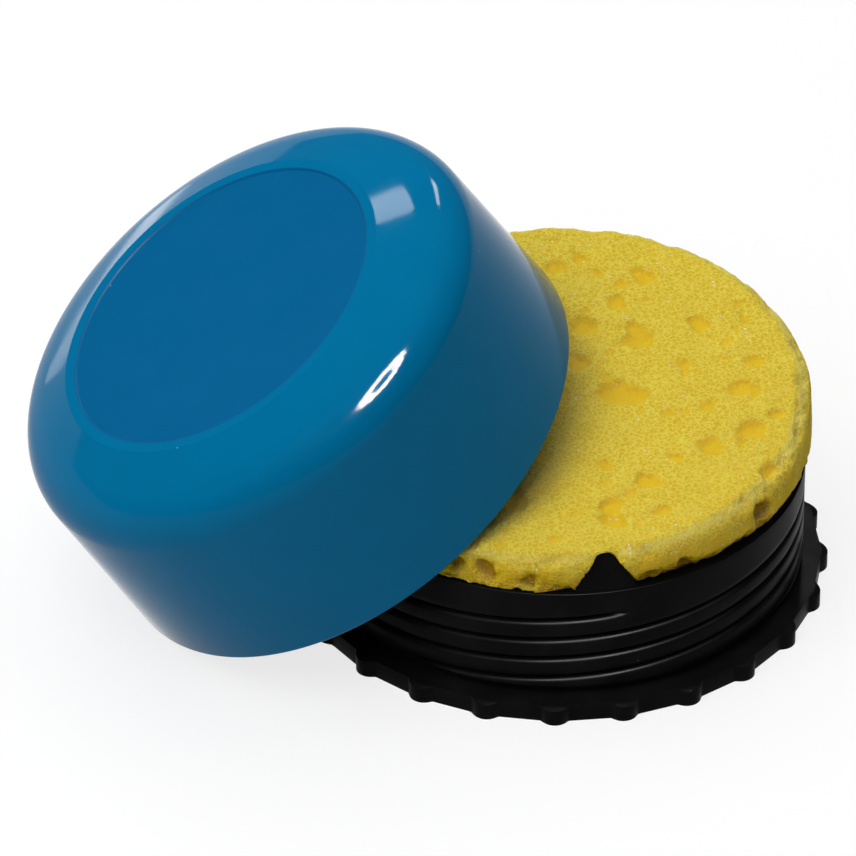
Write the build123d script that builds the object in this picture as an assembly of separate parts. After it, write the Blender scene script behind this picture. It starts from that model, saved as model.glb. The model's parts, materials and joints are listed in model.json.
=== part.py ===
"""Envelope moistener: a lugged cup with a soaked sponge, and its screw lid taken off and leaned on it.

Millimetres, +Z up.  The origin is the middle of the cup's foot, on the table.
The lid leans towards -X.  Angles around the cup are in degrees from +X.
"""
import os
from math import asin, cos, degrees, hypot, pi, radians, sin, tan

from build123d import *

# Cup: flange with a knob on every corner
KNOB_COUNT = 24
FLANGE_LEDGE = 0.15             # a flat side stands this far out past the closed lid
FLANGE_HEIGHT = 3.0
KNOB_STAND = 1.35               # a knob's tip stands this far out past the flat sides
KNOB_RADIUS = 2.3
KNOB_BLEND = 0.8                # hollow between a knob and the flat beside it
CUP_TURN = -0.8                 # how the cup is turned on the table

# Cup: neck and well
NECK_RADIUS = 38.8
RIM_HEIGHT = 22.0
RIM_BEVEL = 0.4                 # outer edge
NECK_WALL = 2.2
FLOOR_THICKNESS = 2.0
RELIEF_DEPTH = 1.0              # plain groove between the neck and the flange
RELIEF_HEIGHT = 1.5

# Cup: claws that keep the sponge in
CLAW_COUNT = 4
CLAW_TURN = -3.5                # from a knob to a claw
CLAW_WIDTH = 9.8
CLAW_HEIGHT = 6.6               # above the rim, to the sharp corner that the tip is rounded from
CLAW_THICKNESS = 1.4
CLAW_LEAN = 18.0                # inwards
CLAW_LEDGE = 0.4                # rim left in front of a claw
CLAW_TIP_ROUND = 1.2

# Sponge
SPONGE_SWELL = 0.8              # how far it swells out past the neck
SPONGE_HEIGHT = 33.75           # middle of the top above the table
SPONGE_SLOPE = 7.9              # the top is cut at a slant
SPONGE_RISE_TOWARDS = 65.0
SPONGE_TOP_INSET = 0.6          # the top is this much smaller than the swell, before its edge is bevelled
SPONGE_BEVEL = 1.6              # top edge
SPONGE_FLARE = 12.0             # the bevelled edge runs out into the side at this angle
SPONGE_TUCK = 0.7               # lower edge of the swell
SOFT_GAP = 0.3                  # between the sponge and what is beside it

# Lid
LID_CLEARANCE = 0.8             # room for the thread between the lid and the neck
LID_HEIGHT = 35.9               # to the ring around the panel
LID_DRAFT = 1.5
LID_WALL = 1.7
LID_TOP_WALL = 1.8
LID_SHOULDER_ROUND = 7.9
LID_DOME_SLOPE = 19.8
LID_RING_RADIUS = 28.5
LID_RING_WIDTH = 2.0
LID_PANEL_DEPTH = 0.5

# Where the lid leans: on the sponge, and on its own mouth
LEAN_AT_SPONGE = -129.0         # place on the sponge's edge, around the cup
LEAN_AT_MOUTH = 76.5            # place on the mouth, from its highest point
LEAN_GAP = 0.8

KNOB_STEP = 360 / KNOB_COUNT
MOUTH_INNER_RADIUS = NECK_RADIUS + LID_CLEARANCE
LID_MOUTH_RADIUS = MOUTH_INNER_RADIUS + LID_WALL
FLANGE_FLAT_RADIUS = LID_MOUTH_RADIUS + FLANGE_LEDGE    # middle of a flat side to the axis
KNOB_TIP_RADIUS = FLANGE_FLAT_RADIUS + KNOB_STAND
WELL_RADIUS = NECK_RADIUS - NECK_WALL
SPONGE_RADIUS = NECK_RADIUS + SPONGE_SWELL
SPONGE_TOP_RADIUS = SPONGE_RADIUS - SPONGE_TOP_INSET
SPONGE_FOOT = FLOOR_THICKNESS + SOFT_GAP
SPONGE_SEAT = RIM_HEIGHT + SOFT_GAP
CLAW_ANGLES = [CUP_TURN + CLAW_TURN + 360 / CLAW_COUNT * i for i in range(CLAW_COUNT)]
PANEL_RADIUS = LID_RING_RADIUS - LID_RING_WIDTH
PANEL_HEIGHT = LID_HEIGHT - LID_PANEL_DEPTH


def section(corners):
    """A half section to revolve: corners are (radius, height), or (radius, height, fillet or chamfer, size)."""
    face = make_face(Polyline([corner[:2] for corner in corners], close=True))
    for radius, height, *easing in corners:
        if easing:
            ease, size = easing
            vertex = face.vertices().sort_by_distance((radius, height, 0))[0]
            face = ease(vertex, size)
    return Plane.XZ * face


def turned(corners):
    """A solid of revolution about the Z axis."""
    return revolve(section(corners), Axis.Z)


def flange():
    """Many-sided plate with a round knob blended onto each corner."""
    corner_radius = FLANGE_FLAT_RADIUS / cos(pi / KNOB_COUNT)
    outline = RegularPolygon(corner_radius, KNOB_COUNT)
    knob = Pos(KNOB_TIP_RADIUS - KNOB_RADIUS, 0) * Rot(0, 0, 180) * Circle(KNOB_RADIUS)
    outline += [Rot(0, 0, KNOB_STEP * i) * knob for i in range(KNOB_COUNT)]
    hollows = outline.vertices()
    outline = fillet(hollows, KNOB_BLEND)
    return extrude(outline, FLANGE_HEIGHT)


def cup_walls():
    """Neck, relief groove and well, as one turned shell on a flat foot."""
    relief_radius = NECK_RADIUS - RELIEF_DEPTH
    relief_top = FLANGE_HEIGHT + RELIEF_HEIGHT
    return turned([
        (0, 0),
        (relief_radius, 0),
        (relief_radius, relief_top),
        (NECK_RADIUS, relief_top),
        (NECK_RADIUS, RIM_HEIGHT, chamfer, RIM_BEVEL),
        (WELL_RADIUS, RIM_HEIGHT),
        (WELL_RADIUS, FLOOR_THICKNESS),
        (0, FLOOR_THICKNESS),
    ])


def claw_blade(grow):
    """Triangle that a claw is cut to, as a wedge along +X, larger by grow on every side."""
    half_width = CLAW_WIDTH / 2
    slant = hypot(half_width, CLAW_HEIGHT)
    tip = CLAW_HEIGHT + grow * slant / half_width
    root = -NECK_WALL
    root_half = half_width * (tip - root) / CLAW_HEIGHT
    triangle = make_face(Polyline([(-root_half, root), (root_half, root), (0, tip)], close=True))
    apex = triangle.vertices().sort_by_distance((0, tip, 0))[0]
    triangle = fillet(apex, CLAW_TIP_ROUND + grow)
    across = Plane(origin=(0, 0, RIM_HEIGHT), x_dir=(0, 1, 0), z_dir=(1, 0, 0))
    return extrude(across * triangle, KNOB_TIP_RADIUS)


def claw_ring(inner_gap, outer_radius):
    """Ring that leans inwards above the rim, from the claws' back to outer_radius at the rim."""
    top = CLAW_HEIGHT + CLAW_WIDTH
    root = -NECK_WALL
    lean = tan(radians(CLAW_LEAN))
    back = NECK_RADIUS - CLAW_LEDGE - CLAW_THICKNESS - inner_gap
    return turned([
        (back, RIM_HEIGHT + root),
        (outer_radius, RIM_HEIGHT + root),
        (outer_radius, RIM_HEIGHT),
        (outer_radius - lean * top, RIM_HEIGHT + top),
        (back - lean * top, RIM_HEIGHT + top),
        (back, RIM_HEIGHT),
    ])


def around(solid, angles):
    """Copies of a solid, turned about the Z axis."""
    return [Rot(0, 0, angle) * solid for angle in angles]


def base_cup():
    """The black cup: flange, neck, well and claws in one moulding."""
    well_hole = Cylinder(WELL_RADIUS, FLANGE_HEIGHT, align=(Align.CENTER, Align.CENTER, Align.MIN))
    plate = Rot(0, 0, CUP_TURN) * flange() - well_hole
    claw = claw_ring(0, NECK_RADIUS - CLAW_LEDGE) & claw_blade(0)
    return cup_walls() + plate + around(claw, CLAW_ANGLES)


def sponge_axes():
    """Plane on the middle of the sponge's slanted top."""
    rise = radians(SPONGE_RISE_TOWARDS)
    slope = radians(SPONGE_SLOPE)
    normal = (-sin(slope) * cos(rise), -sin(slope) * sin(rise), cos(slope))
    return Plane(origin=(0, 0, SPONGE_HEIGHT), x_dir=(-sin(rise), cos(rise), 0), z_dir=normal)


def sponge_cap():
    """Slanted top with a bevelled edge that the foam is cut to, as a solid that widens downwards."""
    depth = SPONGE_HEIGHT + SPONGE_RADIUS
    return sponge_axes() * turned([
        (0, 0),
        (SPONGE_TOP_RADIUS, 0, chamfer, SPONGE_BEVEL),
        (SPONGE_TOP_RADIUS + depth * tan(radians(SPONGE_FLARE)), -depth),
        (0, -depth),
    ])


def sponge():
    """Foam plug in the well that swells over the rim, notched for the claws."""
    plug_radius = WELL_RADIUS - SOFT_GAP
    above = SPONGE_HEIGHT + SPONGE_RADIUS
    foam = turned([
        (0, SPONGE_FOOT),
        (plug_radius, SPONGE_FOOT),
        (plug_radius, SPONGE_SEAT),
        (SPONGE_RADIUS, SPONGE_SEAT, chamfer, SPONGE_TUCK),
        (SPONGE_RADIUS, above),
        (0, above),
    ])
    foam &= sponge_cap()
    notch = claw_ring(SOFT_GAP, KNOB_TIP_RADIUS) & claw_blade(SOFT_GAP)
    for cut in around(notch, CLAW_ANGLES):
        foam -= cut
    return foam


def lid_corner(mouth_radius, ring_height):
    """Radius and height where a drafted side from the mouth meets a dome that slopes from the ring."""
    dome = tan(radians(LID_DOME_SLOPE))
    draft = tan(radians(LID_DRAFT))
    height = (ring_height - dome * (mouth_radius - LID_RING_RADIUS)) / (1 - dome * draft)
    return mouth_radius - draft * height, height


def lid_shell():
    """The lid on its own axis, mouth down at height 0."""
    ceiling = PANEL_HEIGHT - LID_TOP_WALL
    ceiling_radius = LID_RING_RADIUS + LID_PANEL_DEPTH / tan(radians(LID_DOME_SLOPE))
    return turned([
        (MOUTH_INNER_RADIUS, 0),
        (LID_MOUTH_RADIUS, 0),
        (*lid_corner(LID_MOUTH_RADIUS, LID_HEIGHT), fillet, LID_SHOULDER_ROUND),
        (LID_RING_RADIUS, LID_HEIGHT),
        (PANEL_RADIUS + LID_PANEL_DEPTH, LID_HEIGHT),
        (PANEL_RADIUS, PANEL_HEIGHT),
        (0, PANEL_HEIGHT),
        (0, ceiling),
        (ceiling_radius, ceiling),
        lid_corner(MOUTH_INNER_RADIUS, LID_HEIGHT - LID_TOP_WALL),
    ])


def lean_point():
    """Point just over the lower edge of the sponge's bevel that the lid's mouth leans on."""
    axes = sponge_axes()
    around_top = radians(LEAN_AT_SPONGE - SPONGE_RISE_TOWARDS - 90)
    flare = radians(SPONGE_FLARE)
    radius = SPONGE_TOP_RADIUS + SPONGE_BEVEL * sin(flare)
    height = LEAN_GAP - SPONGE_BEVEL * cos(flare)
    return axes.from_local_coords((radius * cos(around_top), radius * sin(around_top), height))


def lid_place():
    """Tilt of the lid and the middle of its mouth: it stands on the table and leans on the sponge."""
    lean = lean_point()
    at_mouth = radians(LEAN_AT_MOUTH)
    # from the lowest point of the mouth, on the table, up the mouth's plane to the leaning point
    across = LID_MOUTH_RADIUS + MOUTH_INNER_RADIUS * cos(at_mouth)
    tilt = asin(lean.Z / across)
    middle = Vector(
        lean.X - MOUTH_INNER_RADIUS * cos(at_mouth) * cos(tilt),
        lean.Y + MOUTH_INNER_RADIUS * sin(at_mouth),
        LID_MOUTH_RADIUS * sin(tilt),
    )
    return tilt, middle


def screw_lid():
    """The blue lid where it leans."""
    tilt, middle = lid_place()
    return Pos(middle) * Rot(0, -degrees(tilt), 0) * lid_shell()


def lid_pivot():
    """Point of the mouth's edge that the lid stands on, which it tips about."""
    tilt, middle = lid_place()
    return middle.X - LID_MOUTH_RADIUS * cos(tilt), middle.Y, 0


PIECES = {
    "base_cup": base_cup,
    "sponge": sponge,
    "screw_lid": screw_lid,
}

os.makedirs("parts", exist_ok=True)
for name, make in PIECES.items():
    export_step(make(), f"parts/{name}.step")

lid_tilt, mouth_middle = lid_place()
print("lid tilt", round(degrees(lid_tilt), 2), "mouth middle", mouth_middle)
print("lid pivot", [round(v, 3) for v in lid_pivot()])
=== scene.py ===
"""Envelope moistener: a black threaded cup, a damp yellow sponge and a blue screw lid that leans on them."""

from __future__ import annotations

import json
import logging
import math
import random
from collections.abc import Callable, Iterator, Sequence
from contextlib import contextmanager
from dataclasses import dataclass
from enum import Enum

import bmesh
import bpy
import numpy as np
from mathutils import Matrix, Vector, noise

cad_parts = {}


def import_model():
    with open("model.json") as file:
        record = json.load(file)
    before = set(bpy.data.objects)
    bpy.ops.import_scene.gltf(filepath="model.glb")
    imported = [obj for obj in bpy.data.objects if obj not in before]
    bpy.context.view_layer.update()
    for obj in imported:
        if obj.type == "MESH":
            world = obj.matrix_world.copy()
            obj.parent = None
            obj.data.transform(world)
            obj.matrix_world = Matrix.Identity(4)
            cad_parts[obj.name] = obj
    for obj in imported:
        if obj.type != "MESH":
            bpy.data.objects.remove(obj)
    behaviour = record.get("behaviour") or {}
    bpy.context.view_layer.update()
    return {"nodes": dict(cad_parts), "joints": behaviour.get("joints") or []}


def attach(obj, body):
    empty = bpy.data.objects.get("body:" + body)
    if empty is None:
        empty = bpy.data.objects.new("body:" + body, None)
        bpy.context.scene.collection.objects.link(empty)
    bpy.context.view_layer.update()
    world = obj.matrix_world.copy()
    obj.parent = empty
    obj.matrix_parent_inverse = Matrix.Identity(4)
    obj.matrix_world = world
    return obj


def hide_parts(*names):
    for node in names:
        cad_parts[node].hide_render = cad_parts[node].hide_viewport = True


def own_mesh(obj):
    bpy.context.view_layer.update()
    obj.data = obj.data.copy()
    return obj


LOG = logging.getLogger("envelope_moistener")
MM = 0.001
CUT_TOLERANCE = 0.0001 * MM
SAME_PLACE = 0.001 * MM
MERGE_DISTANCE = 0.01 * MM

Colour = tuple[float, float, float]
Point = tuple[float, float, float]
Station = tuple[float, float]
Hole = tuple[Point, float]
Rows = np.ndarray
Piece = bpy.types.Object
Material = bpy.types.Material
Node = bpy.types.Node
NodeTree = bpy.types.NodeTree
Socket = bpy.types.NodeSocket


class Slot(Enum):
    """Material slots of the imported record."""

    BLACK_PLASTIC = "black_plastic"
    YELLOW_FOAM = "yellow_foam"
    BLUE_PLASTIC = "blue_plastic"


class Body(Enum):
    """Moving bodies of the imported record."""

    BASE = "base"
    SPONGE = "sponge"
    LID = "lid"


@dataclass(frozen=True)
class Corner:
    """One corner of a turned outline, with the radius and facets of its rounding."""

    radius: float
    height: float
    rounding: float = 0.0
    facets: int = 6


def rounded_path(corners: Sequence[Corner]) -> list[Station]:
    """Turns an outline's corners into points, with an arc at each rounded corner.

    Args:
        corners: The outline's corners in order; the first and last stay sharp.

    Returns:
        Radius and height of each point.
    """
    path: list[Station] = []
    for before, corner, after in zip(corners[:1] + corners[:-1], corners, corners[1:] + corners[-1:]):
        here = Vector((corner.radius, corner.height))
        if corner.rounding == 0.0:
            path.append((here.x, here.y))
            continue
        back = (Vector((before.radius, before.height)) - here).normalized()
        onward = (Vector((after.radius, after.height)) - here).normalized()
        half = back.angle(onward) / 2
        reach = corner.rounding / math.tan(half)
        middle = here + (back + onward).normalized() * (corner.rounding / math.sin(half))
        first = here + back * reach - middle
        last = here + onward * reach - middle
        start = math.atan2(first.y, first.x)
        sweep = math.remainder(math.atan2(last.y, last.x) - start, math.tau)
        for step in range(corner.facets + 1):
            angle = start + sweep * step / corner.facets
            path.append((middle.x + corner.rounding * math.cos(angle),
                         middle.y + corner.rounding * math.sin(angle)))
    return path


def smooth_step(value: Rows) -> Rows:
    """Eases values from 0 to 1, with the ends held."""
    held = np.clip(value, 0.0, 1.0)
    return held * held * (3.0 - 2.0 * held)


def deselect_everything() -> None:
    """Goes back to object mode and clears the selection, CAD nodes included."""
    if bpy.context.object and bpy.context.object.mode != "OBJECT":
        bpy.ops.object.mode_set(mode="OBJECT")
    bpy.ops.object.select_all(action="DESELECT")


def pick(*pieces: Piece) -> None:
    """Selects only these pieces.

    Args:
        pieces: The pieces; the first one becomes active.
    """
    deselect_everything()
    for piece in pieces:
        piece.select_set(True)
    bpy.context.view_layer.objects.active = pieces[0]


@contextmanager
def editing(piece: Piece) -> Iterator[None]:
    """Holds one piece, and nothing else, in edit mode.

    Args:
        piece: The mesh object to work on.
    """
    pick(piece)
    bpy.ops.object.mode_set(mode="EDIT")
    bpy.ops.mesh.select_mode(type="VERT")
    yield
    bpy.ops.object.mode_set(mode="OBJECT")


def select_all() -> None:
    """Selects all of the piece in edit mode."""
    bpy.ops.mesh.select_all(action="SELECT")


def face_outwards() -> None:
    """Turns all faces of the piece in edit mode outwards."""
    select_all()
    bpy.ops.mesh.normals_make_consistent(inside=False)


def cut_level(height: float, **sides: bool) -> None:
    """Cuts the piece in edit mode at a height.

    Args:
        height: Height of the cut.
        sides: What goes and what is filled, in the bisect operator's words.
    """
    select_all()
    bpy.ops.mesh.bisect(plane_co=(0.0, 0.0, height), plane_no=(0.0, 0.0, 1.0),
                        threshold=CUT_TOLERANCE, **sides)


def select_where(piece: Piece, test: Callable[[Vector], bool]) -> None:
    """Selects the vertices of a piece in edit mode by their place.

    Args:
        piece: The piece in edit mode.
        test: Says of a vertex's place whether it is wanted.
    """
    bpy.ops.mesh.select_all(action="DESELECT")
    mesh = bmesh.from_edit_mesh(piece.data)
    for vertex in mesh.verts:
        vertex.select = test(vertex.co)
    mesh.select_flush(True)
    bmesh.update_edit_mesh(piece.data)


def at_height(height: float) -> Callable[[Vector], bool]:
    """Makes a test for vertices that lie at a height."""
    return lambda place: abs(place.z - height) < SAME_PLACE


def start_ring(name: str, start: Station, count: int) -> Piece:
    """Adds a circle of edges about the Z axis.

    Args:
        name: Name of the new piece.
        start: Radius and height of the circle.
        count: Number of vertices.

    Returns:
        The new piece.
    """
    deselect_everything()
    bpy.ops.mesh.primitive_circle_add(vertices=count, radius=start[0], location=(0.0, 0.0, start[1]))
    ring = bpy.context.object
    ring.name = name
    bpy.ops.object.transform_apply(location=True, rotation=True, scale=True)
    return ring


def extrude(rise: float, outwards: float = 0.0) -> None:
    """Extrudes what is selected in edit mode, up and out along X."""
    bpy.ops.mesh.extrude_region_move(TRANSFORM_OT_translate={"value": (outwards, 0.0, rise)})


def extrude_rings(path: Sequence[Station]) -> None:
    """Extrudes the selected ring of edges, in edit mode, along an outline.

    Args:
        path: Radius and height of each ring, with the selected ring first.
    """
    for (radius, height), (next_radius, next_height) in zip(path, path[1:]):
        extrude(next_height - height)
        share = next_radius / radius
        bpy.ops.transform.resize(value=(share, share, 1.0), center_override=(0.0, 0.0, 0.0))


def turn_outline(name: str, path: Sequence[Station], count: int) -> Piece:
    """Models a turned piece as by hand: a circle, extruded and scaled ring by ring, both ends filled.

    Args:
        name: Name of the new piece.
        path: Radius and height of each ring.
        count: Number of vertices round each ring.

    Returns:
        The new piece.
    """
    piece = start_ring(name, path[0], count)
    with editing(piece):
        select_all()
        extrude_rings(path)
        bpy.ops.mesh.edge_face_add()
        first_radius, first_height = path[0]
        select_where(piece, lambda place: abs(place.z - first_height) < SAME_PLACE
                     and abs(place.xy.length - first_radius) < SAME_PLACE)
        bpy.ops.mesh.edge_face_add()
        face_outwards()
    return piece


def apply_modifier(piece: Piece, kind: str, **settings: object) -> None:
    """Adds a modifier to a piece and applies it.

    Args:
        piece: The piece to change.
        kind: Modifier type.
        settings: Values of the modifier, by name.
    """
    pick(piece)
    modifier = piece.modifiers.new(kind.lower(), kind)
    for name, value in settings.items():
        setattr(modifier, name, value)
    bpy.ops.object.modifier_apply(modifier=modifier.name)


def bevel(piece: Piece, width: float, angle: float) -> None:
    """Bevels a piece's edges that are sharper than an angle in degrees."""
    apply_modifier(piece, "BEVEL", width=width, segments=3, limit_method="ANGLE",
                   angle_limit=math.radians(angle))


def turned_copies(piece: Piece, count: int) -> list[Piece]:
    """Copies a piece round the Z axis, each copy with its own mesh.

    Args:
        piece: The piece to copy, itself the first of the ring.
        count: Number of pieces in the ring.

    Returns:
        The piece and its copies.
    """
    ring = [piece]
    for step in range(1, count):
        pick(piece)
        bpy.ops.object.duplicate(linked=False)
        copy = bpy.context.object
        copy.rotation_euler.z = math.tau * step / count
        bpy.ops.object.transform_apply(location=True, rotation=True, scale=True)
        ring.append(copy)
    return ring


def join(pieces: Sequence[Piece]) -> Piece:
    """Joins pieces into one.

    Args:
        pieces: The pieces.

    Returns:
        The first piece, with the others in it.
    """
    pick(*pieces)
    bpy.ops.object.join()
    return pieces[0]


def soften(piece: Piece, angle: float) -> None:
    """Shades a piece smooth across edges below an angle in degrees."""
    pick(piece)
    bpy.ops.object.shade_smooth_by_angle(angle=math.radians(angle))


def places_of(piece: Piece) -> Rows:
    """Reads the places of a piece's vertices.

    Args:
        piece: The piece.

    Returns:
        The places as rows.
    """
    flat = np.empty(len(piece.data.vertices) * 3)
    piece.data.vertices.foreach_get("co", flat)
    return flat.reshape(-1, 3)


def set_places(piece: Piece, places: Rows) -> None:
    """Moves a piece's vertices to the places in the rows."""
    piece.data.vertices.foreach_set("co", places.ravel())
    piece.data.update()


def reach_of(places: Rows) -> Rows:
    """Gives the distances of places from the Z axis."""
    return np.hypot(places[:, 0], places[:, 1])


def turn_of(places: Rows) -> Rows:
    """Gives the angles of places about the Z axis."""
    return np.arctan2(places[:, 1], places[:, 0])


def set_reach(places: Rows, reach: Rows) -> None:
    """Moves the places in the rows to new distances from the Z axis."""
    places[:, :2] *= (reach / reach_of(places))[:, None]


def noise_at(places: Rows, size: float) -> Rows:
    """Gives noise from about -1 to 1 at places, with features of a size."""
    return np.array([noise.noise(Vector(place) / size) for place in places])


class ShaderBoard:
    """A node tree with short ways to add nodes and join them."""

    def __init__(self, tree: NodeTree) -> None:
        """Takes over a node tree."""
        self.tree = tree

    def add(self, kind: str, inputs: dict[str | int, object] | None = None, **settings: object) -> Node:
        """Adds a node.

        Args:
            kind: Node type without its common prefix.
            inputs: Values, or sockets to link, by input name or number.
            settings: Attributes of the node, by name.

        Returns:
            The new node.
        """
        node = self.tree.nodes.new(f"ShaderNode{kind}")
        for name, value in settings.items():
            setattr(node, name, value)
        self.fill(node, inputs or {})
        return node

    def fill(self, node: Node, inputs: dict[str | int, object]) -> None:
        """Links or sets inputs of a node.

        Args:
            node: The node.
            inputs: Sockets to link, or values, by input name or number; a colour is three numbers.
        """
        for name, value in inputs.items():
            socket = node.inputs[name]
            if isinstance(value, Socket):
                self.tree.links.new(value, socket)
            else:
                socket.default_value = (*value, 1.0) if socket.type == "RGBA" else value

    def math(self, operation: str, first: object, second: object = 0.0, third: object = 0.0) -> Socket:
        """Adds a Math node and returns its result."""
        return self.add("Math", {0: first, 1: second, 2: third}, operation=operation).outputs[0]

    def ramp(self, value: object, low: float, high: float, to_low: float = 0.0,
             to_high: float = 1.0) -> Socket:
        """Adds a smooth Map Range node.

        Args:
            value: The value to map.
            low: Value that gives to_low.
            high: Value that gives to_high.
            to_low: Result at low.
            to_high: Result at high.

        Returns:
            The mapped value.
        """
        node = self.add("MapRange", {"Value": value, "From Min": low, "From Max": high,
                                     "To Min": to_low, "To Max": to_high}, interpolation_type="SMOOTHSTEP")
        return node.outputs["Result"]

    def blend(self, share: object, first: object, second: object) -> Socket:
        """Adds a colour Mix node and returns its result."""
        return self.add("Mix", {0: share, 6: first, 7: second}, data_type="RGBA").outputs[2]

    def object_places(self) -> Socket:
        """Adds Object coordinates."""
        return self.add("TexCoord").outputs["Object"]

    def noise(self, places: object, size: float, detail: float = 2.0) -> Socket:
        """Adds a Noise texture with features of a size in metres, and returns its value."""
        node = self.add("TexNoise", {"Vector": places, "Scale": 1.0 / size, "Detail": detail})
        return node.outputs["Fac"]


    def specks(self, places: object, scale: float, share: object, rim: float, core: float) -> Socket:
        """Adds round specks in a share of the cells of a Voronoi texture.

        Args:
            places: Coordinates.
            scale: Scale of the texture.
            share: Share of the cells that hold a speck.
            rim: Distance from a speck's middle, in cells, at which it ends.
            core: Distance up to which it is full.

        Returns:
            1 in the specks, 0 between them.
        """
        cells = self.add("TexVoronoi", {"Vector": places, "Scale": scale})
        chance = self.add("SeparateColor", {0: cells.outputs["Color"]}).outputs["Red"]
        speck = self.ramp(cells.outputs["Distance"], rim, core)
        return self.math("MULTIPLY", speck, self.math("LESS_THAN", chance, share))


def new_material(name: str) -> tuple[Material, ShaderBoard, Node]:
    """Starts a node material.

    Args:
        name: Name of the material.

    Returns:
        The material, its board and its Principled BSDF.
    """
    material = bpy.data.materials.new(name)
    material.use_nodes = True
    return material, ShaderBoard(material.node_tree), material.node_tree.nodes["Principled BSDF"]


@dataclass(frozen=True)
class MouldedSurface:
    """What the moulded plastics share: fine grain, rubbed patches, scratches and dust."""

    rubbed_size: float = 9.0 * MM
    scratch_turn: Point = (0.5, 0.2, 0.7)
    scratch_stretch: Point = (1.0, 0.03, 1.0)
    scratch_scale: float = 700.0
    scratch_width: float = 0.03
    scratch_depth: float = 0.6
    scratch_patch: float = 5.0 * MM
    speck_scale: float = 900.0
    speck_height: float = 0.8

    def group(self) -> NodeTree:
        """Builds the node group.

        Returns:
            The group, with Grain Scale and Dust Amount in, and Height, Rubbed and Dust out.
        """
        group = bpy.data.node_groups.new("moulded_surface", "ShaderNodeTree")
        sockets = {"INPUT": ("Grain Scale", "Dust Amount"), "OUTPUT": ("Height", "Rubbed", "Dust")}
        for way, names in sockets.items():
            for name in names:
                group.interface.new_socket(name=name, in_out=way, socket_type="NodeSocketFloat")
        board = ShaderBoard(group)
        given = group.nodes.new("NodeGroupInput").outputs
        places = board.object_places()
        grain = board.add("TexNoise", {"Vector": places, "Scale": given["Grain Scale"], "Detail": 3.0})
        rubbed = board.ramp(board.noise(places, self.rubbed_size, 4.0), 0.35, 0.7)
        stretch = board.add("Mapping", {"Vector": places, "Rotation": self.scratch_turn,
                                        "Scale": self.scratch_stretch})
        hairs = board.add("TexVoronoi", {"Vector": stretch.outputs[0], "Scale": self.scratch_scale},
                          feature="DISTANCE_TO_EDGE")
        scratch = board.ramp(hairs.outputs["Distance"], self.scratch_width, 0.0)
        sparse = board.ramp(board.noise(places, self.scratch_patch), 0.58, 0.66)
        scratch = board.math("MULTIPLY", scratch, sparse)
        dust = board.specks(places, self.speck_scale, given["Dust Amount"], 0.16, 0.08)
        height = board.math("MULTIPLY_ADD", scratch, -self.scratch_depth, grain.outputs["Fac"])
        height = board.math("MULTIPLY_ADD", dust, self.speck_height, height)
        board.fill(group.nodes.new("NodeGroupOutput"), {"Height": height, "Rubbed": rubbed, "Dust": dust})
        return group


@dataclass(frozen=True)
class PlasticFinish:
    """Coloured moulded plastic with grain, rubbed patches and a little dust."""

    name: str
    colour: Colour
    rubbed_colour: Colour
    roughness: tuple[float, float]
    grain_size: float
    grain_height: float
    dust: float
    dust_colour: Colour
    specular: float

    def material(self, surface: NodeTree) -> Material:
        """Makes the material.

        Args:
            surface: The shared group for moulded surfaces.

        Returns:
            The new material.
        """
        material, board, shader = new_material(self.name)
        made = board.add("Group", {"Grain Scale": 1.0 / self.grain_size, "Dust Amount": self.dust},
                         node_tree=surface).outputs
        colour = board.blend(made["Rubbed"], self.colour, self.rubbed_colour)
        colour = board.blend(made["Dust"], colour, self.dust_colour)
        roughness = board.ramp(made["Rubbed"], 0.0, 1.0, *self.roughness)
        roughness = board.math("ADD", roughness, board.math("MULTIPLY", made["Dust"], 0.3))
        bump = board.add("Bump", {"Height": made["Height"], "Strength": 1.0, "Distance": self.grain_height})
        board.fill(shader, {"Base Color": colour, "Roughness": roughness, "Normal": bump.outputs["Normal"],
                            "Specular IOR Level": self.specular})
        return material


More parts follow.
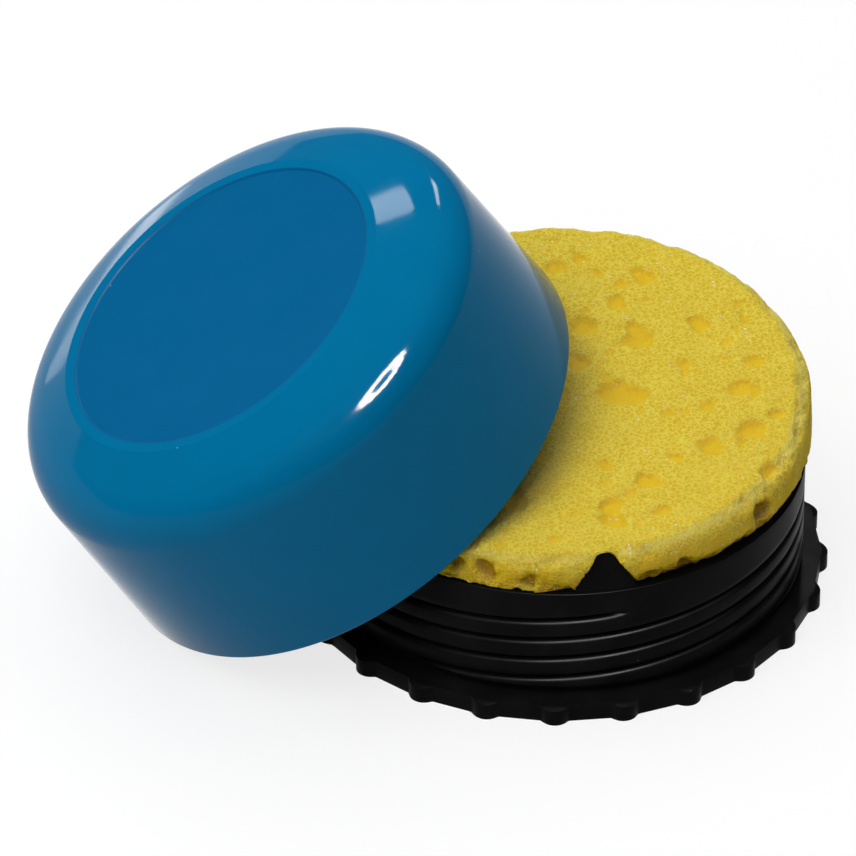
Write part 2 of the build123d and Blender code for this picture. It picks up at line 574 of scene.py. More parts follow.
@dataclass(frozen=True)
class FoamFinish:
    """Open yellow foam: pale cell walls round deep gold cells, with painted shade in the pores and on steep
    flanks, moisture staining with painted shade near the rim, and painted highlights on the edge's crest and
    in sparkles.
    """

    name: str = "yellow_foam"
    wall_colour: Colour = (1.0, 0.78, 0.082)
    cell_colour: Colour = (0.84, 0.56, 0.0)
    # deep gold painted as shade in the pores and on steep flanks
    pore_and_flank_shade_colour: Colour = (0.93, 0.61, 0.0)
    # brown of moisture staining, with painted shade, near the rim and in the hollows
    stain_and_shade_colour: Colour = (0.34, 0.17, 0.001)
    # pale painted highlight on the edge's crest, also the sheen's tint
    crest_highlight_and_sheen_colour: Colour = (1.0, 0.86, 0.20)
    # near-white painted sparkle highlights
    painted_glint_colour: Colour = (1.0, 0.95, 0.65)
    cell_size: float = 0.85 * MM
    cell_depth: float = 0.24 * MM
    wander: float = 0.8 * MM
    wander_size: float = 1.2 * MM
    patch_size: float = 5.0 * MM
    fibre_size: float = 0.28 * MM
    glint_cell: float = 0.9 * MM
    glint_share: float = 0.045
    glow: float = 0.4
    glow_depth: float = 1.8 * MM
    glow_spread: Colour = (1.0, 0.6, 0.12)
    roughness: float = 0.85
    glint_roughness: float = 0.55
    specular: float = 0.05
    fuzz: float = 0.04

    def material(self) -> Material:
        """Makes the material.

        Returns:
            The new material. It reads the sponge's own attributes: painted shade in the pores and on steep
            flanks, moisture staining with painted shade near the rim, and a painted highlight on the edge's
            crest.
        """
        material, board, shader = new_material(self.name)
        places = board.object_places()
        wander = board.add("TexNoise", {"Vector": places, "Scale": 1.0 / self.wander_size, "Detail": 2.0})
        shift = board.add("VectorMath", {0: wander.outputs["Color"], "Scale": self.wander},
                          operation="SCALE")
        bent = board.add("VectorMath", {0: places, 1: shift.outputs[0]}, operation="ADD").outputs[0]
        cells = board.add("TexVoronoi", {"Vector": bent, "Scale": 1.0 / self.cell_size},
                          feature="DISTANCE_TO_EDGE")
        wall = board.ramp(cells.outputs["Distance"], 0.24, 0.03)
        fibre = board.ramp(board.noise(bent, self.fibre_size, 3.0), 0.38, 0.66)
        web = board.math("MULTIPLY_ADD", fibre, 0.55, board.math("MULTIPLY", wall, 0.45))
        patch = board.ramp(board.noise(places, self.patch_size, 3.0), 0.32, 0.68)
        tone = board.ramp(web, 0.28, 0.7)
        colour = board.blend(tone, self.cell_colour, self.wall_colour)
        colour = board.blend(board.math("MULTIPLY", patch, 0.2), colour, self.wall_colour)
        # each mark's name, its tint's share where it is full, how far fibres fray it, and its tint: a
        # painted highlight on the edge's crest, painted shade in the pores and on steep flanks, and moisture
        # staining with painted shade near the rim and in the hollows
        tints = (("edge", 0.45, 0.3, self.crest_highlight_and_sheen_colour), ("pore", 0.92, 0.6, self.pore_and_flank_shade_colour),
                 ("stain_and_shade", 0.85, 0.2, self.stain_and_shade_colour))
        for name, share, fray, tint in tints:
            mark = board.add("Attribute", attribute_name=name).outputs["Fac"]
            frayed = board.math("MULTIPLY_ADD", board.math("SUBTRACT", fibre, 0.5), fray, mark)
            frayed = board.ramp(frayed, 0.15, 0.85)
            colour = board.blend(board.math("MULTIPLY", frayed, share), colour, tint)
        # specks a little glossier than the foam, with painted near-white sparkle highlights
        glint = board.specks(places, 1.0 / self.glint_cell, self.glint_share, 0.28, 0.14)
        colour = board.blend(glint, colour, self.painted_glint_colour)
        bump = board.add("Bump", {"Height": web, "Strength": 0.8, "Distance": self.cell_depth})
        roughness = board.ramp(glint, 0.0, 1.0, self.roughness, self.glint_roughness)
        board.fill(shader, {"Base Color": colour, "Roughness": roughness, "Normal": bump.outputs["Normal"],
                            "Specular IOR Level": self.specular, "Subsurface Weight": self.glow,
                            "Subsurface Radius": self.glow_spread, "Subsurface Scale": self.glow_depth,
                            "Sheen Weight": self.fuzz, "Sheen Roughness": 0.5,
                            "Sheen Tint": self.crest_highlight_and_sheen_colour})
        return material


@dataclass(frozen=True)
class FloorFinish:
    """White table and backdrop that keep a soft shadow."""

    name: str = "white_table"
    colour: Colour = (0.56, 0.56, 0.56)
    own_light: float = 0.78
    shadow_share: Colour = (0.27, 0.27, 0.27)

    def material(self) -> Material:
        """Makes the material, white where it is seen and plain where it only bounces light.

        Returns:
            The new material.
        """
        material, board, _ = new_material(self.name)
        board.tree.nodes.clear()
        paths = board.add("LightPath").outputs
        seen = board.math("MAXIMUM", paths["Is Camera Ray"], paths["Is Glossy Ray"])
        seen = board.math("MAXIMUM", seen, paths["Is Transmission Ray"])
        plain = board.add("BsdfDiffuse", {"Color": self.colour}).outputs[0]
        shadow = board.add("BsdfDiffuse", {"Color": self.shadow_share}).outputs[0]
        light = board.add("Emission", {"Strength": self.own_light}).outputs[0]
        bright = board.add("AddShader", {0: shadow, 1: light}).outputs[0]
        mixed = board.add("MixShader", {0: seen, 1: plain, 2: bright}).outputs[0]
        board.add("OutputMaterial", {"Surface": mixed})
        return material


@dataclass
class ScrewLid:
    """The blue lid: drafted side, shoulder, dome, ring and recessed panel, with screw ribs inside."""

    mouth_radius: float = 41.3 * MM
    mouth_inner_radius: float = 39.6 * MM
    mouth_round: float = 0.5 * MM
    shoulder: Corner = Corner(40.49 * MM, 30.6 * MM, 7.2 * MM, 20)
    ring_radius: float = 28.5 * MM
    height: float = 35.9 * MM
    panel_radius: float = 26.5 * MM
    panel_height: float = 35.62 * MM
    panel_margin: float = 0.5 * MM
    level_margin: float = 0.1 * MM
    panel_cap: float = 4.0 * MM
    ring_round: float = 0.35 * MM
    step_round: float = 0.25 * MM
    panel_round: float = 0.2 * MM
    ceiling: float = 33.6 * MM
    ceiling_radius: float = 29.9 * MM
    ceiling_round: float = 3.0 * MM
    ceiling_cap: float = 6.0 * MM
    inner_corner: Corner = Corner(38.8 * MM, 30.39 * MM, 6.0 * MM, 12)
    tilt: float = math.radians(33.296)
    dome_crown: Corner = Corner(35.2 * MM, 33.55 * MM, 20.0 * MM, 8)
    facets: int = 256
    smooth_angle: float = 28.0
    rib_count: int = 4
    rib_sweep: float = math.radians(72.0)
    rib_lead: float = 14.4 * MM
    rib_depth: float = 0.75 * MM
    rib_height: float = 1.5 * MM
    rib_start: float = 2.2 * MM
    rib_sink: float = 0.3 * MM
    rib_steps: int = 40
    rib_fade: float = 0.1

    def shell(self) -> Piece:
        """Models the shell on its own axis, from the ceiling out over the mouth and up to the panel.

        Returns:
            The shell, mouth down at height 0.
        """
        corners = [
            Corner(self.ceiling_cap, self.ceiling),
            Corner(self.ceiling_radius, self.ceiling, self.ceiling_round),
            self.inner_corner,
            Corner(self.mouth_inner_radius, 0.0, self.mouth_round, 5),
            Corner(self.mouth_radius, 0.0, self.mouth_round, 5),
            self.shoulder,
            self.dome_crown,
            Corner(self.ring_radius, self.height, self.ring_round, 5),
            Corner(self.panel_radius + self.height - self.panel_height, self.height, self.step_round, 4),
            Corner(self.panel_radius, self.panel_height, self.panel_round, 4),
            Corner(self.panel_cap, self.panel_height),
        ]
        return turn_outline("screw_lid_shell", rounded_path(corners), self.facets)

    def ribs(self) -> list[Piece]:
        """Models one screw rib inside the mouth and copies it round.

        Returns:
            The ribs.
        """
        deselect_everything()
        bpy.ops.mesh.primitive_plane_add(size=1.0)
        rib = bpy.context.object
        root = self.mouth_inner_radius + self.rib_sink
        tip = self.mouth_inner_radius - self.rib_depth
        # radius, and share of the rib's height, of the plane's corners
        section = [(root, 0.0), (tip, 0.35), (root, 1.0), (tip, 0.65)]
        for vertex, (radius, share) in zip(rib.data.vertices, section):
            vertex.co = (radius, 0.0, self.rib_start + self.rib_height * share)
        with editing(rib):
            select_all()
            bpy.ops.mesh.delete(type="ONLY_FACE")
        apply_modifier(rib, "SCREW", angle=self.rib_sweep, use_merge_vertices=False,
                       screw_offset=self.rib_lead * self.rib_sweep / math.tau,
                       steps=self.rib_steps, render_steps=self.rib_steps)
        places = places_of(rib)
        along = turn_of(places) / self.rib_sweep
        along = np.abs(along) if along.mean() < 0.0 else along
        fade = smooth_step(np.minimum(along, 1.0 - along) / self.rib_fade)
        set_reach(places, root - (root - reach_of(places)) * fade)
        set_places(rib, places)
        with editing(rib):
            face_outwards()
        return turned_copies(rib, self.rib_count)

    def mouth_middle(self, pivot: Point) -> Vector:
        """Gives the middle of the leaning lid's mouth, from the point of its edge that it stands on."""
        return Vector(pivot) + Vector((math.cos(self.tilt), 0.0, math.sin(self.tilt))) * self.mouth_radius

    def build(self, pivot: Point) -> Piece:
        """Models the lid and leans it on the sponge.

        Args:
            pivot: Point of the mouth's edge that the lid stands on.

        Returns:
            The lid in the part's frame.
        """
        lid = join([self.shell(), *self.ribs()])
        lid.name = "blue_screw_lid"
        pick(lid)
        lid.rotation_euler = (0.0, -self.tilt, 0.0)
        lid.location = self.mouth_middle(pivot)
        bpy.ops.object.transform_apply(location=True, rotation=True, scale=True)
        soften(lid, self.smooth_angle)
        return lid

    def dress(self, lid: Piece, gloss: Material, satin: Material, pivot: Point) -> None:
        """Gives the lid its finishes and its place on the frame.

        Args:
            lid: The lid.
            gloss: Finish of the shell.
            satin: Finish of the recessed panel.
            pivot: Point of the mouth's edge that the lid stands on.
        """
        lid.data.materials.clear()
        lid.data.materials.append(gloss)
        lid.data.materials.append(satin)
        axis = Vector((-math.sin(self.tilt), 0.0, math.cos(self.tilt)))
        panel_level = Vector(pivot).dot(axis) + self.panel_height
        middle = self.mouth_middle(pivot)
        for face in lid.data.polygons:
            level = face.center.dot(axis)
            reach = (face.center - middle).cross(axis).length
            inside = reach < self.panel_radius + self.panel_margin
            face.material_index = int(inside and level > panel_level - self.level_margin)
        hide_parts("screw_lid")
        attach(lid, Body.LID.value)


@dataclass
class BaseCup:
    """The black cup: knobbed flange, threaded neck with its well, and four claws over the sponge."""

    knob_count: int = 24
    cup_turn: float = math.radians(-0.8)
    flat_radius: float = 41.45 * MM
    knob_tip_radius: float = 42.8 * MM
    knob_radius: float = 2.3 * MM
    knob_blend: float = 0.45 * MM
    flange_height: float = 3.0 * MM
    smooth_angle: float = 32.0
    flange_bevel: float = 0.3 * MM
    flange_sharp: float = 60.0
    flange_overlap: float = 0.5 * MM
    flange_sink: float = 0.4 * MM
    points_per_knob: int = 48
    rings_on_top: int = 26
    dish_depth: float = 0.3 * MM
    dish_slope: float = 1.2 * MM
    neck_radius: float = 38.8 * MM
    relief_radius: float = 37.8 * MM
    relief_top: float = 4.5 * MM
    rim_height: float = 22.0 * MM
    rim_round: float = 0.1 * MM
    rim_band: float = 1.2 * MM
    well_radius: float = 36.6 * MM
    floor_height: float = 2.0 * MM
    floor_round: float = 1.5 * MM
    floor_cap: float = 4.0 * MM
    thread_starts: int = 4
    thread_lead: float = 14.4 * MM
    thread_top: float = 17.1 * MM
    thread_start_angle: float = math.radians(-86.1)
    thread_taper: float = 0.4 * MM
    lip_reach: float = 0.5 * MM
    thread_steps: int = 300
    claw_count: int = 4
    claw_turn: float = math.radians(-4.3)
    claw_width: float = 9.8 * MM
    claw_tip: float = 5.79 * MM
    claw_thickness: float = 1.4 * MM
    claw_lean: float = math.radians(18.0)
    claw_ledge: float = 0.4 * MM
    claw_fullness: float = 0.62
    claw_gap: float = 0.25 * MM
    claw_root: float = -1.0 * MM
    claw_bevel: float = 0.22 * MM
    claw_sharp: float = 50.0
    claw_cells: int = 24

    # height over the lip and depth of the thread's groove, in millimetres: a rounded lip below, steep above
    GROOVE = ((-0.45, 0.0), (-0.25, 0.03), (-0.05, 0.12), (0.10, 0.26), (0.22, 0.45), (0.32, 0.70),
              (0.40, 0.95), (0.50, 1.10), (0.62, 1.15), (0.88, 1.15), (1.02, 1.08), (1.12, 0.90),
              (1.18, 0.50), (1.23, 0.20), (1.30, 0.06), (1.40, 0.0), (2.3, 0.0))

    def outline_radius(self, angle: Rows) -> Rows:
        """Gives the flange's outline: flats, with a blended knob at each corner.

        Args:
            angle: Angles about the cup's axis.

        Returns:
            The outline's radius at each angle.
        """
        step = math.tau / self.knob_count
        from_knob = np.remainder(angle - self.cup_turn + step / 2, step) - step / 2
        flat = self.flat_radius / np.cos(step / 2 - np.abs(from_knob))
        middle = self.knob_tip_radius - self.knob_radius
        chord = self.knob_radius**2 - (middle * np.sin(from_knob))**2
        knob = middle * np.cos(from_knob) + np.sqrt(np.maximum(chord, 0.0))
        knob = np.where(chord > 0.0, knob, middle * np.cos(from_knob) + chord / self.knob_radius)
        near = np.maximum(self.knob_blend - np.abs(flat - knob), 0.0) / self.knob_blend
        return np.maximum(flat, knob) + near**2 * self.knob_blend / 4

    def flange(self) -> Piece:
        """Models the flange: an outline, extruded and closed inwards, with dished knobs and bevelled edges.

        Returns:
            The flange.
        """
        count = self.knob_count * self.points_per_knob
        plate = start_ring("flange", (self.flat_radius, 0.0), count)
        places = places_of(plate)
        angle = turn_of(places)
        radius = self.outline_radius(angle)
        places[:, 0] = radius * np.cos(angle)
        places[:, 1] = radius * np.sin(angle)
        set_places(plate, places)
        inner_radius = self.relief_radius - self.flange_overlap
        inner = start_ring("flange_inner", (inner_radius, self.flange_height), count)
        foot = start_ring("flange_foot", (self.well_radius, 0.0), count)
        with editing(plate):
            select_all()
            extrude(self.flange_height)
        plate = join([plate, inner, foot])
        with editing(plate):
            select_where(plate, at_height(self.flange_height))
            bpy.ops.mesh.bridge_edge_loops(number_cuts=self.rings_on_top, interpolation="LINEAR")
            select_where(plate, at_height(0.0))
            bpy.ops.mesh.bridge_edge_loops()
            face_outwards()
        places = places_of(plate)
        top = places[:, 2] > self.flange_height - MERGE_DISTANCE
        step = math.tau / self.knob_count
        angle = turn_of(places)
        from_flat = np.remainder(angle - self.cup_turn, step) - step / 2
        beyond_flat = reach_of(places) * np.cos(from_flat) - self.flat_radius
        places[:, 2] -= np.where(top, smooth_step(beyond_flat / self.dish_slope) * self.dish_depth, 0.0)
        set_places(plate, places)
        bevel(plate, self.flange_bevel, self.flange_sharp)
        return plate

    def thread_line(self) -> Piece:
        """Models the neck's profile over one pitch and repeats it upwards.

        Returns:
            A line of edges in the XZ plane that the screw sweeps.
        """
        pitch = self.thread_lead / self.thread_starts
        at_zero = self.thread_top - self.thread_lead * self.thread_start_angle / math.tau
        lowest = self.relief_top - self.thread_lead - pitch
        first = at_zero + math.floor((lowest - at_zero) / pitch) * pitch
        deselect_everything()
        bpy.ops.mesh.primitive_plane_add(size=1.0)
        line = bpy.context.object
        line.name = "threaded_neck"
        points = [(self.neck_radius - depth * MM, first + rise * MM) for rise, depth in self.GROOVE]
        points.append((self.neck_radius, points[0][1] + pitch))
        with editing(line):
            select_where(line, lambda place: place.x > 0.0 or place.y > 0.0)
            bpy.ops.mesh.delete(type="VERT")
            select_all()
            start = bmesh.from_edit_mesh(line.data).verts
            start.ensure_lookup_table()
            start[0].co = (points[0][0], 0.0, points[0][1])
            bmesh.update_edit_mesh(line.data)
            for (radius, height), (next_radius, next_height) in zip(points, points[1:]):
                extrude(next_height - height, next_radius - radius)
        count = math.ceil((self.rim_height - first) / pitch) + 1
        apply_modifier(line, "ARRAY", count=count, use_relative_offset=False, use_constant_offset=True,
                       constant_offset_displace=(0.0, 0.0, pitch), use_merge_vertices=True,
                       merge_threshold=MERGE_DISTANCE)
        return line

    def neck(self) -> Piece:
        """Models the threaded neck: a swept profile, cut level and carried over the rim into the well.

        Returns:
            The neck.
        """
        neck = self.thread_line()
        apply_modifier(neck, "SCREW", axis="Z", angle=math.tau, screw_offset=self.thread_lead,
                       steps=self.thread_steps, render_steps=self.thread_steps, use_merge_vertices=False,
                       use_smooth_shade=True)
        cut_top = self.rim_height - self.rim_band
        with editing(neck):
            select_all()
            bpy.ops.mesh.remove_doubles(threshold=MERGE_DISTANCE)
            cut_level(cut_top, clear_outer=True)
            cut_level(self.relief_top, clear_inner=True)
        self.fade_thread(neck)
        rim = rounded_path([
            Corner(self.neck_radius, cut_top),
            Corner(self.neck_radius, self.rim_height, self.rim_round, 5),
            Corner(self.well_radius, self.rim_height, self.rim_round, 5),
            Corner(self.well_radius, self.floor_height, self.floor_round, 4),
            Corner(self.floor_cap, self.floor_height),
        ])
        with editing(neck):
            select_where(neck, at_height(cut_top))
            extrude_rings(rim)
            bpy.ops.mesh.edge_face_add()
            select_where(neck, at_height(self.relief_top))
            bpy.ops.mesh.extrude_region_move()
            mesh = bmesh.from_edit_mesh(neck.data)
            for vertex in mesh.verts:
                if vertex.select:
                    vertex.co.xy = vertex.co.xy.normalized() * self.relief_radius
            bmesh.update_edit_mesh(neck.data)
            extrude(self.flange_height - self.flange_sink - self.relief_top)
            face_outwards()
        return neck

    def fade_thread(self, neck: Piece) -> None:
        """Lets each of the thread's grooves run out at its upper end.

        Args:
            neck: The swept neck.
        """
        places = places_of(neck)
        pitch = self.thread_lead / self.thread_starts
        angle = turn_of(places)
        lip = self.thread_top + self.thread_lead * (angle - self.thread_start_angle) / math.tau
        over_lip = np.remainder(places[:, 2] - lip + self.lip_reach, pitch) - self.lip_reach
        keep = smooth_step((self.thread_top - (places[:, 2] - over_lip)) / self.thread_taper)
        set_reach(places, self.neck_radius - (self.neck_radius - reach_of(places)) * keep)
        set_places(neck, places)

    def claw_half_width(self, height: Rows) -> Rows:
        """Gives half a claw's width at heights over the rim."""
        return self.claw_width / 2 * np.clip(1.0 - height / self.claw_tip, 0.0, 1.0)**self.claw_fullness

    def claw_outer(self, height: Rows) -> Rows:
        """Gives the radius of a claw's outer face at heights over the rim."""
        return self.neck_radius - self.claw_ledge - np.maximum(height, 0.0) * math.tan(self.claw_lean)

    def behind_claws(self, places: Rows) -> Rows:
        """Says how far out foam may reach, so that the claws stay clear of it.

        Args:
            places: Places as rows.

        Returns:
            A radius just inside the claws behind each claw, and a large one elsewhere.
        """
        height = places[:, 2] - self.rim_height
        step = math.tau / self.claw_count
        turn = turn_of(places) + math.pi / 2 - self.claw_turn
        across = np.abs(np.remainder(turn + step / 2, step) - step / 2) * self.neck_radius
        covered = across < self.claw_half_width(height - self.claw_gap) + self.claw_gap
        covered &= height < self.claw_tip + self.claw_gap
        return np.where(covered, self.claw_outer(height) - self.claw_thickness - self.claw_gap, 1.0)

    def claws(self) -> list[Piece]:
        """Models one claw, a leaning pointed blade that follows the rim, and copies it round.

        Returns:
            The claws.
        """
        deselect_everything()
        cells = self.claw_cells
        bpy.ops.mesh.primitive_grid_add(x_subdivisions=cells, y_subdivisions=cells, size=1.0)
        claw = bpy.context.object
        claw.name = "claw"
        places = places_of(claw)
        rise = np.sin((places[:, 1] + 0.5) * math.pi / 2)
        height = self.claw_root + rise * (self.claw_tip - self.claw_root)
        across = places[:, 0] * 2.0 * self.claw_half_width(height)
        outer = self.claw_outer(height)
        angle = across / outer - math.pi / 2 + self.claw_turn
        bent = np.stack([outer * np.cos(angle), outer * np.sin(angle), self.rim_height + height], 1)
        set_places(claw, bent)
        with editing(claw):
            select_all()
            bpy.ops.mesh.remove_doubles(threshold=MERGE_DISTANCE)
            face_outwards()
        apply_modifier(claw, "SOLIDIFY", thickness=self.claw_thickness, offset=-1.0)
        bevel(claw, self.claw_bevel, self.claw_sharp)
        return turned_copies(claw, self.claw_count)

    def build(self) -> Piece:
        """Models the whole cup.

        Returns:
            The cup in the part's frame.
        """
        cup = join([self.neck(), self.flange(), *self.claws()])
        cup.name = "black_base_cup"
        soften(cup, self.smooth_angle)
        return cup

    def dress(self, cup: Piece, plastic: Material) -> None:
        """Gives the cup its finish and its place on the frame.

        Args:
            cup: The cup.
            plastic: The cup's material.
        """
        cup.data.materials.clear()
        cup.data.materials.append(plastic)
        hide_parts("base_cup")
        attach(cup, Body.BASE.value)


@dataclass
class FoamSponge:
    """The sponge: a foam plug with open pores, a worn edge and hollows along the rim."""

    voxel: float = 0.36 * MM
    cut_height: float = 18.5 * MM
    foot_height: float = 2.3 * MM
    rim_height: float = 22.0 * MM
    press: float = 5.0 * MM
    top_height: float = 33.75 * MM
    slope: float = math.radians(7.9)
    rise_towards: float = math.radians(65.0)
    radius: float = 39.6 * MM
    well_radius: float = 36.4 * MM
    bare_towards: float = math.radians(-25.0)
    edge_drop: float = 3.2 * MM
    edge_width: float = 3.6 * MM
    edge_rounds: int = 120
    edge_least: float = 0.02
    tuck_height: float = 3.6 * MM
    tuck_noise: float = 4.0 * MM
    least_tuck: float = 0.05
    more_tuck: float = 0.6
    uneven_tuck: float = 0.35
    most_tuck: float = 0.85
    pore_warp: float = 1.0 * MM
    warp_noise: float = 2.8 * MM
    pore_fray: float = 0.4 * MM
    fray_noise: float = 1.1 * MM
    pore_depth: float = 0.36
    hollow_depth: float = 0.55
    hollow_inset: float = 0.6 * MM
    bowl_side: float = 0.6
    small_pores: int = 420
    fine_share: float = 0.7
    side_pores: int = 120
    cell_noise: float = 0.8 * MM
    cell_wear: float = 0.16 * MM
    broad_noise: float = 9.0 * MM
    broad_wear: float = 0.6 * MM
    ragged_noise: float = 3.4 * MM
    ragged_wear: float = 2.2 * MM
    tattered_noise: float = 1.3 * MM
    tattered_wear: float = 0.7 * MM
    low_wear: float = 1.1 * MM
    low_height: float = 5.5 * MM
    wear_below_rim: float = 0.2 * MM
    wear_onset: float = 0.8 * MM
    pore_shade_depth: float = 0.62 * MM
    stain_and_shade_depth: float = 1.2 * MM
    hollow_stain_and_shade: float = 0.75
    seed: int = 11

    # places and radii, in millimetres, of the largest pores of the top
    LARGE_PORES = ((25, 8, 2.3), (15, 7, 2.5), (15.5, 9.5, 2.2), (8.2, -3.4, 3.3), (10.6, -4.8, 2.9),
                   (27, -8, 2.3), (29, -9, 2.1), (31, -3, 2.0), (20, 0, 1.8), (19, -19, 2.3),
                   (12.9, -20, 1.9), (7.6, -24, 2.5), (2, -19, 1.8), (0.6, -28, 2.7), (0, -30.5, 2.7),
                   (11, 28, 1.9), (7, 27, 2.1), (7.5, 12.5, 2.7), (4.5, 5, 2.4), (20, 21, 2.8),
                   (21, -10.5, 1.6), (26, -17.5, 2.8), (31, -15, 1.9), (27, -27, 2.5), (-13, -23, 2.8),
                   (8, -31, 1.9), (14, 16.5, 2.0), (32, 7, 1.4))
    # least and most radius, in millimetres, of the scattered pores, and height of those on the side
    FINE_RADIUS = (0.5, 0.8)
    WIDE_RADIUS = (0.8, 1.4)
    SIDE_RADIUS = (0.4, 1.0)
    SIDE_HEIGHT = (22.6, 34.0)
    # angle in degrees, height and radius in millimetres of the hollows along the rim
    RIM_HOLLOWS = ((-52.0, 26.5, 3.2), (-58.0, 24.0, 2.2), (-75.0, 23.4, 2.4), (-84.0, 23.2, 1.6),
                   (-112.0, 24.0, 2.0), (-122.0, 25.0, 2.6), (-131.0, 26.0, 2.4), (-30.0, 25.0, 2.2),
                   (-10.0, 26.0, 2.4), (14.0, 25.5, 2.0), (40.0, 26.0, 2.6), (75.0, 27.0, 2.2),
                   (110.0, 26.0, 2.4), (150.0, 25.0, 2.2), (190.0, 25.5, 2.4))

    def plug(self, node: Piece) -> Piece:
        """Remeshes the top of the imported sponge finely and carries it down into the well.

        Args:
            node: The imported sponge, which is left as it is.

        Returns:
            The foam plug, fine above the rim and plain in the well.
        """
        foam = bpy.data.objects.new("yellow_sponge", node.data.copy())
        bpy.context.scene.collection.objects.link(foam)
        with editing(foam):
            select_all()
            bpy.ops.mesh.remove_doubles(threshold=SAME_PLACE)
            cut_level(self.cut_height, clear_inner=True, use_fill=True)
        apply_modifier(foam, "REMESH", mode="VOXEL", voxel_size=self.voxel)
        with editing(foam):
            # the faces of the cut go, and the foam is carried down from the open edge
            level = self.cut_height + 0.6 * self.voxel
            select_where(foam, lambda place: place.z < level)
            bpy.ops.mesh.delete(type="FACE")
            select_all()
            bpy.ops.mesh.region_to_loop()
            extrude(self.foot_height - self.cut_height)
            bpy.ops.transform.resize(value=(1.0, 1.0, 0.0), center_override=(0.0, 0.0, self.foot_height))
            bpy.ops.mesh.edge_face_add()
            face_outwards()
        return foam

    def top_level(self, x: float | Rows, y: float | Rows) -> float | Rows:
        """Gives the height of the slanted top over places in the plan."""
        along = x * math.cos(self.rise_towards) + y * math.sin(self.rise_towards)
        return self.top_height + along * math.tan(self.slope)

    def pores(self) -> list[Hole]:
        """Lists the pores, large ones listed and small ones scattered with a fixed seed.

        Returns:
            Middle and radius of each pore.
        """
        draw = random.Random(self.seed)
        found = [((x * MM, y * MM, self.top_level(x * MM, y * MM)), radius * MM)
                 for x, y, radius in self.LARGE_PORES]
        for _ in range(self.small_pores):
            reach = self.radius * math.sqrt(draw.random())
            turn = draw.uniform(0.0, math.tau)
            size = draw.uniform(*(self.FINE_RADIUS if draw.random() < self.fine_share else self.WIDE_RADIUS))
            x, y = reach * math.cos(turn), reach * math.sin(turn)
            found.append(((x, y, self.top_level(x, y)), size * MM))
        for _ in range(self.side_pores):
            turn = draw.uniform(0.0, math.tau)
            height = draw.uniform(*self.SIDE_HEIGHT) * MM
            found.append(((self.radius * math.cos(turn), self.radius * math.sin(turn), height),
                          draw.uniform(*self.SIDE_RADIUS) * MM))
        return found

    def rim_hollows(self) -> list[Hole]:
        """Lists the hollows along the rim.

        Returns:
            Middle and radius of each hollow.
        """
        reach = self.radius - self.hollow_inset
        found = []
        for angle, height, radius in self.RIM_HOLLOWS:
            turn = math.radians(angle)
            found.append(((reach * math.cos(turn), reach * math.sin(turn), height * MM), radius * MM))
        return found

    def edge_share(self, places: Rows) -> Rows:
        """Says how near places are to the worn edge between the foam's top and side.

        Args:
            places: Places as rows.

        Returns:
            1 at the edge, down to 0 on the middle of the top and low on the side.
        """
        below_top = self.top_level(places[:, 0], places[:, 1]) - places[:, 2]
        inside = self.radius - reach_of(places)
        return smooth_step(1.0 - below_top / self.edge_drop) * smooth_step(1.0 - inside / self.edge_width)

    def away_from_lid(self, places: Rows) -> Rows:
        """Says how far round from the lid places are, from 0 to 1."""
        return smooth_step((np.cos(turn_of(places) - self.bare_towards) + 0.2) / 0.9)

    def tuck_in(self, places: Rows) -> None:
        """Draws the foam in just over the rim, most on the side away from the lid, so that the rim shows.

        Args:
            places: Places as rows, which are changed.
        """
        reach = reach_of(places)
        uneven = noise_at(places, self.tuck_noise)
        low = smooth_step(1.0 - (places[:, 2] - self.rim_height) / self.tuck_height)
        share = self.least_tuck + self.more_tuck * self.away_from_lid(places) + self.uneven_tuck * uneven
        share = np.clip(share, 0.0, self.most_tuck) * low
        over_rim = np.maximum(reach - self.well_radius, 0.0)
        set_reach(places, reach - over_rim * share)

    def bend(self, places: Rows) -> Rows:
        """Shifts places unevenly, so that round holes about them come out ragged.

        Args:
            places: Places as rows.

        Returns:
            The shifted places.
        """
        warp = np.array([noise.noise_vector(Vector(place) / self.warp_noise) for place in places])
        fray = np.array([noise.noise_vector(Vector(place) / self.fray_noise) for place in places])
        return places + warp * self.pore_warp + fray * self.pore_fray

    def pits(self, bent: Rows, holes: Sequence[Hole], deepness: float) -> Rows:
        """Works out how deep soft holes go at places on the foam.

        Args:
            bent: The places as rows, shifted unevenly.
            holes: Middle and radius of each hole.
            deepness: Depth of a hole over its radius.

        Returns:
            Depth at each place.
        """
        depth = np.zeros(len(bent))
        for middle, radius in holes:
            away = np.linalg.norm(bent - np.array(middle), axis=1) / radius
            near = away < 1.0
            bowl = smooth_step((1.0 - away[near]) / self.bowl_side) * radius * deepness
            depth[near] = np.maximum(depth[near], bowl)
        return depth

    def roll_edge(self, foam: Piece) -> None:
        """Softens the edge between the foam's top and side into a roll.

        Args:
            foam: The foam plug.
        """
        group = foam.vertex_groups.new(name="soft_edge")
        share = self.edge_share(places_of(foam))
        for index in np.flatnonzero(share > self.edge_least):
            group.add([int(index)], float(share[index]), "REPLACE")
        apply_modifier(foam, "SMOOTH", factor=0.5, iterations=self.edge_rounds, vertex_group=group.name)
        foam.vertex_groups.clear()

